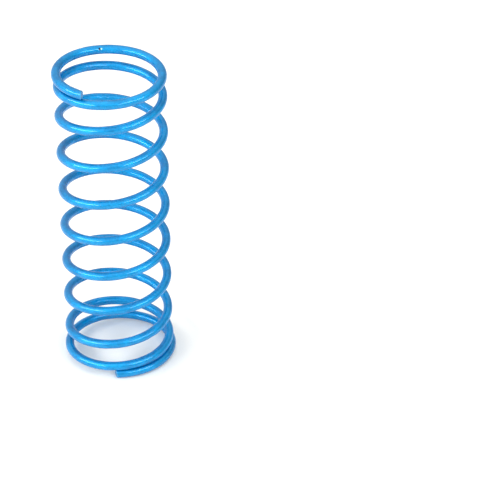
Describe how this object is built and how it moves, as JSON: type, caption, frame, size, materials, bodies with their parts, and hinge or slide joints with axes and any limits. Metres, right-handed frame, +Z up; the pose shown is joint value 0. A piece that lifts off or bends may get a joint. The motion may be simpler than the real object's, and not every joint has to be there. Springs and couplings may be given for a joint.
{
  "type": "coil spring",
  "caption": "Right-hand helical compression spring of round wire with closed, unground ends, coated in translucent blue, for a model car's damper.",
  "frame": {"origin": "on the spring's axis, at the level that its lower end coil stands on", "axes": "+Z up the axis, towards the upper end coil; -Y towards the cut end of the wire at the bottom; the spring is wound right-handed about +Z"},
  "size_m": [0.0203, 0.02, 0.0582],
  "materials": {
    "blue_coated_wire": "glossy translucent blue over bright plated wire"
  },
  "bodies": {
    "lower_end": {"lower_end_coil": "blue_coated_wire"},
    "turn_1": {"coil_1": "blue_coated_wire"},
    "turn_2": {"coil_2": "blue_coated_wire"},
    "turn_3": {"coil_3": "blue_coated_wire"},
    "turn_4": {"coil_4": "blue_coated_wire"},
    "turn_5": {"coil_5": "blue_coated_wire"},
    "turn_6": {"coil_6": "blue_coated_wire"},
    "turn_7": {"coil_7": "blue_coated_wire"},
    "upper_end": {"upper_end_coil": "blue_coated_wire"}
  },
  "joints": [
    {"name": "compression", "type": "slide", "parent": "lower_end", "child": "upper_end", "axis": [0, 0, -1], "range_m": [0, 0.028], "stiffness_N_per_m": 1400},
    {"name": "turn_1_travel", "type": "slide", "parent": "lower_end", "child": "turn_1", "axis": [0, 0, -1], "range_m": [0, 0.0012]},
    {"name": "turn_2_travel", "type": "slide", "parent": "lower_end", "child": "turn_2", "axis": [0, 0, -1], "range_m": [0, 0.0048]},
    {"name": "turn_3_travel", "type": "slide", "parent": "lower_end", "child": "turn_3", "axis": [0, 0, -1], "range_m": [0, 0.0093]},
    {"name": "turn_4_travel", "type": "slide", "parent": "lower_end", "child": "turn_4", "axis": [0, 0, -1], "range_m": [0, 0.0138]},
    {"name": "turn_5_travel", "type": "slide", "parent": "lower_end", "child": "turn_5", "axis": [0, 0, -1], "range_m": [0, 0.0183]},
    {"name": "turn_6_travel", "type": "slide", "parent": "lower_end", "child": "turn_6", "axis": [0, 0, -1], "range_m": [0, 0.0228]},
    {"name": "turn_7_travel", "type": "slide", "parent": "lower_end", "child": "turn_7", "axis": [0, 0, -1], "range_m": [0, 0.0267]}
  ],
  "couplings": [
    {"joint": "turn_1_travel", "follows": "compression", "ratio": 0.0404},
    {"joint": "turn_2_travel", "follows": "compression", "ratio": 0.1696},
    {"joint": "turn_3_travel", "follows": "compression", "ratio": 0.3305},
    {"joint": "turn_4_travel", "follows": "compression", "ratio": 0.4915},
    {"joint": "turn_5_travel", "follows": "compression", "ratio": 0.6524},
    {"joint": "turn_6_travel", "follows": "compression", "ratio": 0.8133},
    {"joint": "turn_7_travel", "follows": "compression", "ratio": 0.9532}
  ]
}
